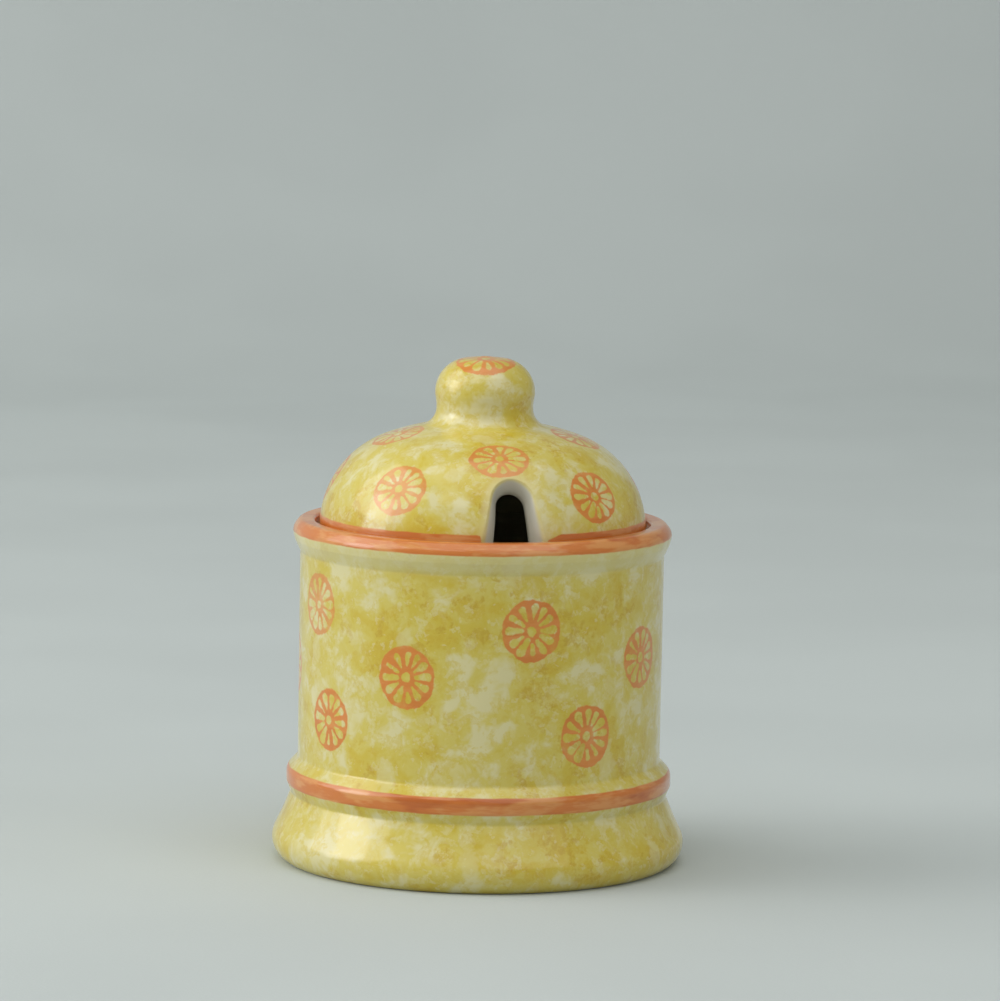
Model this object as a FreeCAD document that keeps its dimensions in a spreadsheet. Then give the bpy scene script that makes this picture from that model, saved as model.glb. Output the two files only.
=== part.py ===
import FreeCAD, Part
import math
import os
import Sketcher
from FreeCAD import Vector

# A thrown and glazed jam pot in two pieces: the pot on its flared foot, and a domed lid
# with a knob, which rests on a ledge inside the pot's rim. The lid's front edge has an
# arched notch for a spoon. Millimetres, +Z up, the foot stands on Z = 0, the notch
# faces -Y and the axis of both pieces is the Z axis.

SIZES = {
    # pot, heights above the table
    "potHeight": 78.0,
    "wallRadius": 41.55,
    "potWall": 5.0,
    "floorThickness": 6.0,
    "floorRound": 9.0,
    # flared foot: widths are what stands out past the wall
    "standOut": 3.05,
    "standRound": 1.0,
    "flareOut": 7.15,
    "flareHeight": 2.9,
    "flareRound": 5.2,
    "sweepOut": 3.45,
    "sweepHeight": 10.4,
    "sweepRound": 16.0,
    "waistOut": 1.5,
    "waistHeight": 15.1,
    "waistRound": 1.0,
    "standWidth": 6.4,
    "recessDepth": 1.6,
    "recessRound": 1.2,
    # raised bead above the foot
    "beadOut": 2.55,
    "beadBottom": 17.8,
    "beadTop": 20.65,
    "beadRound": 2.3,
    "coveHeight": 23.3,
    "coveRound": 1.2,
    # turned-out lip: drops are measured down from the rim
    "lipDrop": 7.4,
    "lipRound": 1.2,
    "cuffOut": 1.3,
    "cuffDrop": 4.6,
    "cuffRound": 1.2,
    "lipOut": 1.85,
    "lipFaceDrop": 2.2,
    "lipFaceRound": 2.5,
    "rimOut": 0.15,
    "rimRound": 1.5,
    # mouth and the ledge that the lid sits on
    "rimWidth": 3.45,
    "mouthRound": 0.8,
    "mouthDrop": 0.2,
    "ledgeDrop": 2.4,
    "ledgeWidth": 3.6,
    "ledgeThickness": 2.6,
    "ledgeSlope": 3.4,
    "ledgeRound": 0.6,
    # lid, heights above its seat
    "lidClearance": 0.9,
    "lidWall": 4.5,
    "edgeHeight": 0.6,
    "shoulderRadius": 22.3,
    "crownRadius": 66.6,
    # knob, heights above the crown
    "neckInset": 0.35,
    "neckRise": 3.4,
    "neckHollow": 4.0,
    "neckRound": 4.1,
    "knobRadius": 11.35,
    "knobRise": 5.6,
    "knobTop": 13.0,
    "knobDome": 1.3,
    "knobRound": 7.8,
    # spoon notch in the lid's front edge
    "notchWidth": 8.8,
    "notchArch": 3.3,
    "notchHeight": 12.3,
    "notchLean": 15.0,
    "notchFlare": 3.0,
    "notchFlareAngle": 45.0,
}

# radii and heights that several pieces share, as expressions on the sheet
MOUTH_RADIUS = "(Sizes.wallRadius - Sizes.rimWidth)"
LEDGE_HEIGHT = "(Sizes.potHeight - Sizes.ledgeDrop)"
LID_RADIUS = f"({MOUTH_RADIUS} - Sizes.lidClearance)"
INNER_RADIUS = "(Sizes.wallRadius - Sizes.potWall)"
NECK_RADIUS = "(Sizes.knobRadius - Sizes.neckInset)"
NOTCH_BACK = "(2 * Sizes.lidWall)"
NOTCH_FLARE = "min(Sizes.notchFlare; Sizes.lidWall * 0.75)"
NOTCH_ARCH = "min(Sizes.notchArch; Sizes.notchWidth * 0.45)"
NOTCH_LEAN = f"(Sizes.notchWidth / 2 - {NOTCH_ARCH}) / (Sizes.notchHeight - {NOTCH_ARCH})"
NOTCH_LOW_HALF = f"(Sizes.notchWidth / 2 + {NOTCH_LEAN} * Sizes.lidWall)"


def makeSheet(doc):
    sheet = doc.addObject("Spreadsheet::Sheet", "Sizes")
    for row, (name, value) in enumerate(SIZES.items(), 1):
        sheet.set(f"A{row}", name)
        sheet.set(f"B{row}", str(value))
        sheet.setAlias(f"B{row}", name)
    doc.recompute()


def valueOf(expression):
    """The present value of an expression on the sheet, in millimetres."""
    return float(doc.Sizes.evalExpression(expression))


def makeBody(doc, label):
    body = doc.addObject("PartDesign::Body", label)
    body.Label = label
    return body


def originPlane(body, role):
    return next(part for part in body.Origin.OriginFeatures if part.Role == role)


def makeSketch(body, name):
    """An empty sketch on the body's XZ plane: sketch X is the radius, sketch Y the height."""
    sketch = body.newObject("Sketcher::SketchObject", name)
    sketch.AttachmentSupport = (originPlane(body, "XZ_Plane"), [""])
    sketch.MapMode = "FlatFace"
    return sketch


def bind(sketch, constraint, name, expression):
    """Add a constraint, name it and tie its value to an expression on the sheet."""
    index = sketch.addConstraint(constraint)
    sketch.renameConstraint(index, name)
    sketch.setExpression(f"Constraints.{name}", expression)


def roundCorner(sketch, before, after, name, expression):
    """Round the corner between two lines, keeping the corner as a construction point."""
    radius = valueOf(expression)
    middles = [sketch.Geometry[line].value(sketch.Geometry[line].length() / 2) for line in (before, after)]
    sketch.fillet(before, after, *middles, radius, True, True)
    arc = next(
        index for index in range(sketch.GeometryCount - 1, -1, -1)
        if isinstance(sketch.Geometry[index], Part.ArcOfCircle)
    )
    bind(sketch, Sketcher.Constraint("Radius", arc, radius), name, expression)


def drawOutline(sketch, corners):
    """A closed outline of straight lines through named corners, each corner given as
    (name, radius, height, round) with expressions, and the round left out where sharp."""
    points = [Vector(valueOf(corner[1]), valueOf(corner[2]), 0) for corner in corners]
    count = len(points)
    for index in range(count):
        sketch.addGeometry(Part.LineSegment(points[index], points[(index + 1) % count]), False)
    for index in range(count):
        sketch.addConstraint(Sketcher.Constraint("Coincident", index, 2, (index + 1) % count, 1))
    for index, corner in enumerate(corners):
        for kind, suffix, axis, expression, value in (
            ("DistanceX", "Radius", -2, corner[1], points[index].x),
            ("DistanceY", "Height", -1, corner[2], points[index].y),
        ):
            if expression == "0":
                sketch.addConstraint(Sketcher.Constraint("PointOnObject", index, 1, axis))
            else:
                constraint = Sketcher.Constraint(kind, -1, 1, index, 1, value)
                bind(sketch, constraint, corner[0] + suffix, expression)
    for index, corner in enumerate(corners):
        if len(corner) > 3:
            roundCorner(sketch, (index - 1) % count, index, corner[0] + "Round", corner[3])


def revolve(body, sketch, name):
    turned = body.newObject("PartDesign::Revolution", name)
    turned.Profile = (sketch, [""])
    turned.ReferenceAxis = (sketch, ["V_Axis"])
    turned.Angle = 360
    return turned


def roundEdges(body, name, base, edges, expression):
    fillet = body.newObject("PartDesign::Fillet", name)
    fillet.Base = (base, edges)
    fillet.setExpression("Radius", expression)
    return fillet


def edgesWhere(shape, test):
    return [f"Edge{index}" for index, edge in enumerate(shape.Edges, 1)
            if not edge.Degenerated and test(edge)]


def makePot(doc):
    """The pot, turned from one outline that runs out along the foot, up the outside,
    over the rim, down past the lid's ledge and back along the floor."""
    body = makeBody(doc, "pot")
    sketch = makeSketch(body, "PotOutline")
    standInner = "Sizes.wallRadius + Sizes.standOut - Sizes.standWidth"
    ledgeInner = f"{MOUTH_RADIUS} - Sizes.ledgeWidth"
    ledgeUnder = f"{LEDGE_HEIGHT} - Sizes.ledgeThickness"
    drawOutline(sketch, [
        ("recessCentre", "0", "Sizes.recessDepth"),
        ("recessEdge", standInner, "Sizes.recessDepth", "Sizes.recessRound"),
        ("standInner", standInner, "0"),
        ("standOuter", "Sizes.wallRadius + Sizes.standOut", "0", "Sizes.standRound"),
        ("flare", "Sizes.wallRadius + Sizes.flareOut", "Sizes.flareHeight", "Sizes.flareRound"),
        ("sweep", "Sizes.wallRadius + Sizes.sweepOut", "Sizes.sweepHeight", "Sizes.sweepRound"),
        ("waist", "Sizes.wallRadius + Sizes.waistOut", "Sizes.waistHeight", "Sizes.waistRound"),
        ("beadLower", "Sizes.wallRadius + Sizes.beadOut", "Sizes.beadBottom", "Sizes.beadRound"),
        ("beadUpper", "Sizes.wallRadius + Sizes.beadOut", "Sizes.beadTop", "Sizes.beadRound"),
        ("cove", "Sizes.wallRadius", "Sizes.coveHeight", "Sizes.coveRound"),
        ("lipStart", "Sizes.wallRadius", "Sizes.potHeight - Sizes.lipDrop", "Sizes.lipRound"),
        ("cuff", "Sizes.wallRadius + Sizes.cuffOut", "Sizes.potHeight - Sizes.cuffDrop", "Sizes.cuffRound"),
        ("lipFace", "Sizes.wallRadius + Sizes.lipOut", "Sizes.potHeight - Sizes.lipFaceDrop",
         "Sizes.lipFaceRound"),
        ("rim", "Sizes.wallRadius + Sizes.rimOut", "Sizes.potHeight", "Sizes.rimRound"),
        ("mouth", MOUTH_RADIUS, "Sizes.potHeight - Sizes.mouthDrop", "Sizes.mouthRound"),
        ("ledgeOuter", MOUTH_RADIUS, LEDGE_HEIGHT),
        ("ledgeInner", ledgeInner, LEDGE_HEIGHT, "Sizes.ledgeRound"),
        ("ledgeUnder", ledgeInner, ledgeUnder, "Sizes.ledgeRound"),
        ("innerTop", INNER_RADIUS, f"{ledgeUnder} - Sizes.ledgeSlope"),
        ("innerFloor", INNER_RADIUS, "Sizes.floorThickness", "Sizes.floorRound"),
        ("floorCentre", "0", "Sizes.floorThickness"),
    ])
    body.Tip = revolve(body, sketch, "TurnedPot")
    return body


def drawDome(sketch):
    """Half the lid's section: a flat seat, a short upright edge, a shoulder arc tangent to
    it, a crown arc about the axis, and the same arcs inside at one wall thickness."""
    radius, wall, edge = valueOf(LID_RADIUS), valueOf("Sizes.lidWall"), valueOf("Sizes.edgeHeight")
    shoulder, crown = valueOf("Sizes.shoulderRadius"), valueOf("Sizes.crownRadius")
    reach = radius - shoulder
    centre = edge - math.sqrt((crown - shoulder) ** 2 - reach ** 2)
    turn = math.atan2(edge - centre, reach)
    shoulderCentre = Vector(reach, edge, 0)
    crownCentre = Vector(0, centre, 0)
    normal = Vector(0, 0, 1)

    def arc(middle, size, start, end):
        return Part.ArcOfCircle(Part.Circle(middle, normal, size), start, end)

    geometry = [
        Part.LineSegment(Vector(radius - wall, 0, 0), Vector(radius, 0, 0)),
        Part.LineSegment(Vector(radius, 0, 0), Vector(radius, edge, 0)),
        arc(shoulderCentre, shoulder, 0, turn),
        arc(crownCentre, crown, turn, math.pi / 2),
        Part.LineSegment(Vector(0, centre + crown, 0), Vector(0, centre + crown - wall, 0)),
        arc(crownCentre, crown - wall, turn, math.pi / 2),
        arc(shoulderCentre, shoulder - wall, 0, turn),
        Part.LineSegment(Vector(radius - wall, edge, 0), Vector(radius - wall, 0, 0)),
    ]
    for item in geometry:
        sketch.addGeometry(item, False)
    seatLine, edgeLine, outerShoulder, outerCrown, axisLine, innerCrown, innerShoulder, innerLine = range(8)
    start, end, middle = 1, 2, 3
    horizontalAxis, verticalAxis = -1, -2
    for kind, *places in (
        ("PointOnObject", seatLine, start, horizontalAxis),
        ("PointOnObject", seatLine, end, horizontalAxis),
        ("Coincident", seatLine, end, edgeLine, start),
        ("Vertical", edgeLine),
        ("Tangent", edgeLine, end, outerShoulder, start),
        ("Tangent", outerShoulder, end, outerCrown, start),
        ("PointOnObject", outerCrown, middle, verticalAxis),
        ("PointOnObject", outerCrown, end, verticalAxis),
        ("Coincident", axisLine, start, outerCrown, end),
        ("PointOnObject", innerCrown, end, verticalAxis),
        ("Coincident", axisLine, end, innerCrown, end),
        ("Coincident", innerCrown, middle, outerCrown, middle),
        ("Coincident", innerShoulder, middle, outerShoulder, middle),
        ("Tangent", innerShoulder, end, innerCrown, start),
        ("Tangent", innerLine, start, innerShoulder, start),
        ("Vertical", innerLine),
        ("Coincident", innerLine, end, seatLine, start),
    ):
        sketch.addConstraint(Sketcher.Constraint(kind, *places))
    bind(sketch, Sketcher.Constraint("DistanceX", -1, 1, seatLine, end, radius), "lidRadius", LID_RADIUS)
    bind(sketch, Sketcher.Constraint("DistanceX", seatLine, start, seatLine, end, wall),
         "lidWall", "Sizes.lidWall")
    bind(sketch, Sketcher.Constraint("DistanceY", edgeLine, start, edgeLine, end, edge),
         "edgeHeight", "Sizes.edgeHeight")
    bind(sketch, Sketcher.Constraint("Radius", outerShoulder, shoulder),
         "shoulderRadius", "Sizes.shoulderRadius")
    bind(sketch, Sketcher.Constraint("Radius", outerCrown, crown), "crownRadius", "Sizes.crownRadius")
    crownHeight = sketch.addConstraint(
        Sketcher.Constraint("DistanceY", -1, 1, outerCrown, end, centre + crown))
    sketch.setDriving(crownHeight, False)
    sketch.renameConstraint(crownHeight, "crownHeight")


def drawNotch(sketch):
    """The arched outline of the spoon notch: two leaning sides tangent to a round top,
    closed below the seat so that the cut runs clear through the edge."""
    half, below = valueOf(NOTCH_LOW_HALF), valueOf("Sizes.lidWall")
    arch, height = valueOf(NOTCH_ARCH), valueOf("Sizes.notchHeight")
    rise = height - arch + below
    reach = math.hypot(half, rise)
    lean = math.acos(arch / reach) - math.atan2(rise, half)
    touch = Vector(arch * math.cos(lean), height - arch + arch * math.sin(lean), 0)
    left, right = Vector(-half, -below, 0), Vector(half, -below, 0)
    top = Part.Circle(Vector(0, height - arch, 0), Vector(0, 0, 1), arch)
    sketch.addGeometry(Part.LineSegment(left, right), False)
    sketch.addGeometry(Part.LineSegment(right, touch), False)
    sketch.addGeometry(Part.ArcOfCircle(top, lean, math.pi - lean), False)
    sketch.addGeometry(Part.LineSegment(Vector(-touch.x, touch.y, 0), left), False)
    bottomLine, rightLine, topArc, leftLine = range(4)
    start, end, middle = 1, 2, 3
    for kind, *places in (
        ("Coincident", bottomLine, end, rightLine, start),
        ("Tangent", rightLine, end, topArc, start),
        ("Tangent", topArc, end, leftLine, start),
        ("Coincident", leftLine, end, bottomLine, start),
        ("Symmetric", bottomLine, start, bottomLine, end, -2),
        ("PointOnObject", topArc, middle, -2),
    ):
        sketch.addConstraint(Sketcher.Constraint(kind, *places))
    bind(sketch, Sketcher.Constraint("DistanceX", -1, 1, bottomLine, end, half), "lowHalf",
         NOTCH_LOW_HALF)
    bind(sketch, Sketcher.Constraint("DistanceY", bottomLine, end, -1, 1, below), "below",
         "Sizes.lidWall")
    bind(sketch, Sketcher.Constraint("Radius", topArc, arch), "arch", NOTCH_ARCH)
    bind(sketch, Sketcher.Constraint("DistanceY", -1, 1, topArc, middle, height - arch), "archHeight",
         f"Sizes.notchHeight - {NOTCH_ARCH}")


def cutNotch(body, name, depth, length, taper):
    """Cut the notch's arch from a leaning plane that lies at a depth inside the lid's
    edge, outwards by a length, widening by the taper's angle."""
    volumeBefore = body.Tip.Shape.Volume
    sketch = makeSketch(body, f"{name}Outline")
    lean = FreeCAD.Rotation(Vector(-1, 0, 0), valueOf("Sizes.notchLean"))
    place = f"{LID_RADIUS} - {depth}"
    sketch.AttachmentOffset = FreeCAD.Placement(Vector(0, 0, valueOf(place)), lean)
    sketch.setExpression("AttachmentOffset.Base.z", place)
    sketch.setExpression("AttachmentOffset.Rotation.Angle", "Sizes.notchLean")
    drawNotch(sketch)
    cut = body.newObject("PartDesign::Pocket", name)
    cut.Profile = (sketch, [""])
    cut.Type = "Length"
    cut.Reversed = True
    cut.setExpression("Length", length)
    cut.setExpression("TaperAngle", taper)
    doc.recompute()
    if cut.Shape.Volume >= volumeBefore:
        raise RuntimeError(f"{name} cut nothing")
    return cut


def makeLid(doc):
    """The lid: a hollow dome turned about the axis, a solid knob on its crown, and the
    notch cut through the front of its wall and flared on the outside."""
    body = makeBody(doc, "lid")
    domeSketch = makeSketch(body, "DomeOutline")
    drawDome(domeSketch)
    revolve(body, domeSketch, "Dome")
    doc.recompute()

    crown = "DomeOutline.Constraints.crownHeight / 1mm"
    neckFoot = f"{crown} - Sizes.lidWall / 2"
    knobRound = "min(Sizes.knobRound; (Sizes.knobTop - Sizes.knobRise) * 1.05; Sizes.knobRadius * 0.75)"
    knobSketch = makeSketch(body, "KnobOutline")
    drawOutline(knobSketch, [
        ("knobFoot", "0", neckFoot),
        ("neckFoot", NECK_RADIUS, neckFoot),
        ("neck", NECK_RADIUS, f"{crown} + Sizes.neckRise", "Sizes.neckHollow"),
        ("side", "Sizes.knobRadius", f"{crown} + Sizes.knobRise"),
        ("shoulder", "Sizes.knobRadius", f"{crown} + Sizes.knobTop", knobRound),
        ("top", "0", f"{crown} + Sizes.knobTop + Sizes.knobDome"),
    ])
    knob = revolve(body, knobSketch, "Knob")
    doc.recompute()

    neckRadius = valueOf(NECK_RADIUS)
    crownHeight = domeSketch.getDatum("crownHeight").Value

    def atNeckFoot(edge):
        box = edge.BoundBox
        isRing = box.ZLength < 0.01 and abs(box.XMax - neckRadius) < 0.01
        return isRing and box.ZMax < crownHeight

    neckRound = "min(Sizes.neckRound; Sizes.neckRise * 1.1 + 0.4)"
    roundEdges(body, "NeckRound", knob, edgesWhere(knob.Shape, atNeckFoot), neckRound)
    doc.recompute()

    cutNotch(body, "Notch", NOTCH_BACK, f"{NOTCH_BACK} + {NOTCH_BACK}", "0")
    body.Tip = cutNotch(body, "NotchFlare", NOTCH_FLARE, f"3 * {NOTCH_FLARE}", "Sizes.notchFlareAngle")
    body.Placement.Base = Vector(0, 0, valueOf(LEDGE_HEIGHT))
    body.setExpression("Placement.Base.z", LEDGE_HEIGHT)
    return body


def checkModel(doc, pieces):
    for item in doc.Objects:
        if "Invalid" in item.State or "Error" in item.State:
            raise RuntimeError(f"{item.Name} did not compute: {item.State}")
    for piece in pieces:
        shape = piece.Shape
        if shape.isNull() or not shape.isValid() or len(shape.Solids) != 1:
            raise RuntimeError(f"{piece.Label} is not one valid solid")


def writeParts(pieces):
    os.makedirs("parts", exist_ok=True)
    for piece in pieces:
        piece.Shape.exportStep(f"parts/{piece.Label}.step")
        print(f"{piece.Label}: {piece.Shape.Volume / 1000:.1f} cubic centimetres")


doc = FreeCAD.newDocument("JamPot")
makeSheet(doc)
pieces = [makePot(doc), makeLid(doc)]
doc.recompute()
checkModel(doc, pieces)
writeParts(pieces)
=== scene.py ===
import math
import bpy
import numpy as np
from mathutils import Euler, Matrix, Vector


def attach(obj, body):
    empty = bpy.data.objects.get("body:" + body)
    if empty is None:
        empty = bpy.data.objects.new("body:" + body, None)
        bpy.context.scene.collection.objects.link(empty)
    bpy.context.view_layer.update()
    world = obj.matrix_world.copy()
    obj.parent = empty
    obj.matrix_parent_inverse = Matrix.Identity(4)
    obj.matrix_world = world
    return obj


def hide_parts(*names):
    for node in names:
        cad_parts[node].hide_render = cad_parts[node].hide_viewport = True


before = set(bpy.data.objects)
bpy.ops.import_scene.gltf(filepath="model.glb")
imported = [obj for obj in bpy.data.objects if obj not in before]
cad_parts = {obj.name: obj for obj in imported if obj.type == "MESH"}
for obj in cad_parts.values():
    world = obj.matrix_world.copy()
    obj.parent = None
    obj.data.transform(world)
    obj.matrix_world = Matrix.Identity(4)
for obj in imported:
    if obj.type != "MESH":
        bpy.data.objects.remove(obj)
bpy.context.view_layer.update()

mm = 0.001
print("jam pot: frame loaded")

# camera
cameraSet = {
    "azimuth": -11.0,  # degrees round from the front, towards +X
    "elevation": 8.6,
    "roll": 1.0,
    "distance": 1.2,
    "aimHeight": 0.050,
    "lens": 189.13,
    "sensor": 36.0,
    "shift": (0.0193, 0.1403),
    "farthest": 20.0,
}


def around(azimuth, elevation, distance, height=0.0):
    # a point round the pot's axis; azimuth 0 is the front (-Y), positive towards +X
    turn, tilt = math.radians(azimuth), math.radians(elevation)
    flat = distance * math.cos(tilt)
    return Vector((flat * math.sin(turn), -flat * math.cos(turn), height + distance * math.sin(tilt)))


def pointAt(thing, target):
    thing.rotation_euler = (Vector(target) - thing.location).to_track_quat("-Z", "Y").to_euler()


def placeInScene(name, data):
    made = bpy.data.objects.new(name, data)
    bpy.context.scene.collection.objects.link(made)
    return made


def makeCamera():
    data = bpy.data.cameras.new("potView")
    camera = placeInScene("potView", data)
    data.sensor_fit = "HORIZONTAL"
    data.sensor_width = cameraSet["sensor"]
    data.lens = cameraSet["lens"]
    data.shift_x, data.shift_y = cameraSet["shift"]
    data.clip_end = cameraSet["farthest"]
    camera.location = around(cameraSet["azimuth"], cameraSet["elevation"], cameraSet["distance"],
                             cameraSet["aimHeight"])
    pointAt(camera, (0, 0, cameraSet["aimHeight"]))
    straight = camera.rotation_euler.to_matrix()
    roll = Euler((0, 0, math.radians(cameraSet["roll"]))).to_matrix()
    camera.rotation_euler = (straight @ roll).to_euler()
    bpy.context.scene.camera = camera


makeCamera()

# floor, backdrop and lights
studio = {
    "floorColour": (196, 203, 201),
    "floorRoughness": 0.75,
    "floorShine": 0.2,
    "grainSize": 0.9,  # millimetres, as the clouds' size
    "grainStrength": 0.25,
    "grainDepth": 0.0002,  # metres
    "cloudSize": 160,
    "cloudShare": 0.96,  # a faint cloud's share of the floor's colour
    # to the camera alone the floor beside the window lamp is darker, so that it stays below white:
    # from and to so many millimetres left of the middle, and its share of the colour
    "lampShade": (450, 1150, 0.36),
    # metres: the floor runs back to the wall and bends up into it
    "floorHalf": 2.4,
    "floorFront": -1.5,
    "floorDrop": 0.00005,  # how far it lies under the foot
    "wallAt": 1.5,
    "wallBend": 0.5,
    "wallHeight": 2.4,
    "bendParts": 12,
    "worldColour": (234, 236, 234),
    "worldStrength": 0.38,
    # azimuth, elevation, distance, width, height, watts
    "lamps": {
        "windowLight": (-93, 18, 2.0, 0.72, 1.08, 7.6),
        "softBoxLight": (-38, 46, 1.2, 0.42, 0.28, 0.6),
        "leftWashLight": (-106, 34, 2.7, 3.4, 2.1, 46.0),
        "topLight": (0, 80, 1.5, 1.6, 1.2, 6.8),
        "rightFillLight": (20, 42, 2.4, 2.0, 2.0, 10.0),
    },
}


def paint(red, green, blue):
    # a colour as it is seen, 0 to 255, as Blender's linear colour
    def linear(value):
        share = value / 255
        return share / 12.92 if share <= 0.04045 else ((share + 0.055) / 1.055) ** 2.4
    return (linear(red), linear(green), linear(blue), 1.0)


def darker(colour, share):
    return tuple(share * part for part in colour[:3]) + (1,)


def addNode(tree, kind, **settings):
    made = tree.nodes.new(kind)
    for name, value in settings.items():
        setattr(made, name, value)
    return made


def feed(tree, socket, value):
    # a value is another node's socket to link, or a plain number or colour
    if isinstance(value, bpy.types.NodeSocket):
        tree.links.new(value, socket)
    else:
        socket.default_value = value


def fill(tree, made, values):
    # values by the names or the numbers of a node's sockets
    for name, value in values.items():
        feed(tree, made.inputs[name], value)
    return made


def maths(tree, operation, *values, clamp=False):
    made = addNode(tree, "ShaderNodeMath", operation=operation, use_clamp=clamp)
    return fill(tree, made, dict(enumerate(values))).outputs[0]


def times(tree, first, *others):
    for value in others:
        first = maths(tree, "MULTIPLY", first, value)
    return first


def vectorMaths(tree, operation, *values):
    return fill(tree, addNode(tree, "ShaderNodeVectorMath", operation=operation), dict(enumerate(values)))


def splitVector(tree, vector):
    return fill(tree, addNode(tree, "ShaderNodeSeparateXYZ"), {0: vector}).outputs


def mixColour(tree, share, under, over):
    # a Mix node's sockets 6 and 7 take its two colours
    made = addNode(tree, "ShaderNodeMix", data_type="RGBA")
    return fill(tree, made, {"Factor": share, 6: under, 7: over}).outputs[2]


def ease(tree, value, low, high, start=0.0, end=1.0):
    made = addNode(tree, "ShaderNodeMapRange", interpolation_type="SMOOTHSTEP")
    return fill(tree, made, dict(enumerate((value, low, high, start, end)))).outputs[0]


def noise(tree, place, size, detail=2.0, roughness=0.5, distortion=0.0, seed=None):
    # size is the width of one blotch, in the units of place
    made = addNode(tree, "ShaderNodeTexNoise", noise_dimensions="3D" if seed is None else "4D")
    values = {"Vector": place, "Scale": 1 / size, "Detail": detail, "Roughness": roughness,
              "Distortion": distortion}
    if seed is not None:
        values["W"] = seed
    return fill(tree, made, values).outputs[0]


def wander(tree, value, size, onto=None):
    # a noise's 0 to 1 as a wander about nothing, size from end to end, added onto another value if given
    middle = maths(tree, "SUBTRACT", value, 0.5)
    return times(tree, middle, size) if onto is None else maths(tree, "MULTIPLY_ADD", middle, size, onto)


def addBump(tree, shader, height, strength, depth):
    bump = addNode(tree, "ShaderNodeBump")
    fill(tree, bump, {"Height": height, "Strength": strength, "Distance": depth})
    feed(tree, shader.inputs["Normal"], bump.outputs[0])


def objectPlace(tree, stretch=(1, 1, 1), shift=(0, 0, 0)):
    # Object coordinates in millimetres, stretched or shifted to suit a pattern
    coordinates = addNode(tree, "ShaderNodeTexCoord").outputs["Object"]
    scale = tuple(1000 / axis for axis in stretch)
    mapping = addNode(tree, "ShaderNodeMapping")
    return fill(tree, mapping, {"Vector": coordinates, "Scale": scale, "Location": shift}).outputs[0]


def newGroup(name, kind, inputs, output):
    # an empty group with its inputs and its one output as (name, kind of socket)
    tree = bpy.data.node_groups.new(name, kind)
    for title, socket in inputs:
        tree.interface.new_socket(title, in_out="INPUT", socket_type=f"NodeSocket{socket}")
    tree.interface.new_socket(output[0], in_out="OUTPUT", socket_type=f"NodeSocket{output[1]}")
    return tree, addNode(tree, "NodeGroupInput").outputs, addNode(tree, "NodeGroupOutput").inputs[0]


def newMaterial(name):
    material = bpy.data.materials.new(name)
    material.use_nodes = True
    tree = material.node_tree
    return material, tree, tree.nodes["Principled BSDF"]


def smoothMesh(name, points, faces, material):
    mesh = bpy.data.meshes.new(name)
    mesh.from_pydata(points, [], faces)
    mesh.polygons.foreach_set("use_smooth", [True] * len(mesh.polygons))
    mesh.materials.append(material)
    return mesh


def floorPaint():
    material, tree, shader = newMaterial("studioFloor")
    place = objectPlace(tree)
    floorColour = paint(*studio["floorColour"])
    cloud = ease(tree, noise(tree, place, studio["cloudSize"], 2), 0.35, 0.65)
    colour = mixColour(tree, cloud, floorColour, darker(floorColour, studio["cloudShare"]))
    shadeFrom, shadeTo, shadeShare = studio["lampShade"]
    leftwards = times(tree, splitVector(tree, place)["X"], -1)
    seen = addNode(tree, "ShaderNodeLightPath").outputs["Is Camera Ray"]
    shaded = times(tree, ease(tree, leftwards, shadeFrom, shadeTo), seen)
    colour = mixColour(tree, shaded, colour, darker(floorColour, shadeShare))
    fill(tree, shader, {"Base Color": colour, "Roughness": studio["floorRoughness"],
                        "Specular IOR Level": studio["floorShine"]})
    grain = noise(tree, place, studio["grainSize"], 3)
    addBump(tree, shader, grain, studio["grainStrength"], studio["grainDepth"])
    return material


def makeStage():
    half, wall, bend = studio["floorHalf"], studio["wallAt"], studio["wallBend"]
    low = -studio["floorDrop"]
    section = [(studio["floorFront"], low)]
    for step in range(studio["bendParts"] + 1):
        turn = math.pi / 2 * step / studio["bendParts"]
        section.append((wall - bend + bend * math.sin(turn), low + bend - bend * math.cos(turn)))
    section.append((wall, studio["wallHeight"]))
    points = [(side * half, y, z) for y, z in section for side in (-1, 1)]
    faces = [(2 * k, 2 * k + 1, 2 * k + 3, 2 * k + 2) for k in range(len(section) - 1)]
    sweep = placeInScene("studioSweep", smoothMesh("studioSweep", points, faces, floorPaint()))


def makeLight(name, azimuth, elevation, distance, width, height, power):
    data = bpy.data.lights.new(name, "AREA")
    data.shape = "RECTANGLE"
    data.size, data.size_y = width, height
    data.energy = power
    lamp = placeInScene(name, data)
    aimHeight = cameraSet["aimHeight"]
    lamp.location = around(azimuth, elevation, distance, aimHeight)
    pointAt(lamp, (0, 0, aimHeight))


def makeWorld():
    world = bpy.data.worlds.new("studioAir")
    world.use_nodes = True
    fill(world.node_tree, world.node_tree.nodes["Background"],
         {"Color": paint(*studio["worldColour"]), "Strength": studio["worldStrength"]})
    bpy.context.scene.world = world


makeStage()
for lampName, lampValues in studio["lamps"].items():
    makeLight(lampName, *lampValues)
makeWorld()
bpy.context.scene.view_settings.view_transform = "Standard"
print("jam pot: camera, floor and lights")

# outlines of the turned clay, in millimetres
outlineDetail = {
    "fewestParts": 8,  # of a corner's round
    "roundShare": 0.4,  # the parts of a round are no longer than this share of the step
    "straight": 0.01,  # a corner that turns by less, in radians, gets no round
    "samePlace": 1e-4,  # points closer than this count as one
}


def arcPoints(centre, radius, start, end, step):
    # points on an arc in a (radius, height) section, start and end in radians
    count = max(2, math.ceil(abs(end - start) * radius / step))
    turns = [start + (end - start) * k / count for k in range(count + 1)]
    return [(centre[0] + radius * math.cos(turn), centre[1] + radius * math.sin(turn)) for turn in turns]


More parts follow.
